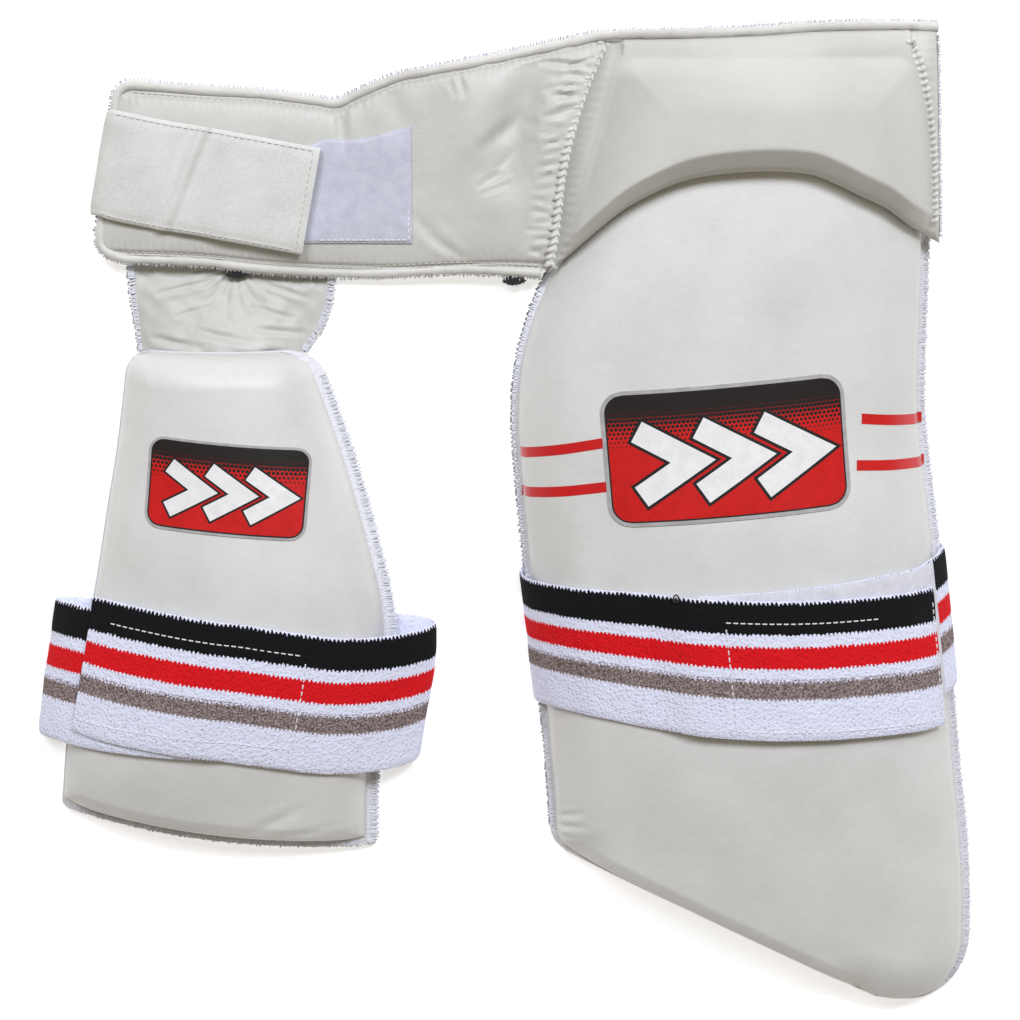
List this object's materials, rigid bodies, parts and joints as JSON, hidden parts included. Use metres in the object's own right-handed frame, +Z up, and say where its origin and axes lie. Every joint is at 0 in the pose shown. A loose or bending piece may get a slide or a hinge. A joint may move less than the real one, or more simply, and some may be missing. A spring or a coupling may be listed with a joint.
{
  "type": "cricket thigh guard",
  "caption": "Combined padded thigh guard: large outer and small inner leg pads hung from a padded waist belt, each with an elastic strap.",
  "frame": {"origin": "middle of the bounding box, on the surface the guard lies on", "axes": "+Z up out of the padded fronts, +Y from the pads' feet towards the waist belt, +X from the inner pad to the outer pad"},
  "size_m": [0.4346, 0.452, 0.0601],
  "materials": {
    "leather": "satin off-white",
    "lining": "matt white towelling",
    "elastic": "white knitted elastic with black, red and grey stripes",
    "hook_and_loop": "white brushed loop",
    "webbing": "cream felted strap",
    "piping": "cream rolled edge",
    "badge_print": "gloss printed film"
  },
  "bodies": {
    "root": {"outer_backing": "lining", "outer_pad": "leather", "hip_pad": "leather", "outer_badge": "badge_print", "inner_backing": "lining", "inner_pad": "leather", "inner_badge": "badge_print", "waist_belt": "leather", "belt_top_piping": "piping", "belt_foot_piping": "piping", "loop_patch": "hook_and_loop", "waist_strap": "webbing", "hanging_tab": "leather", "outer_strap": "elastic", "outer_strap_patch": "hook_and_loop", "inner_strap": "elastic"}
  },
  "joints": []
}
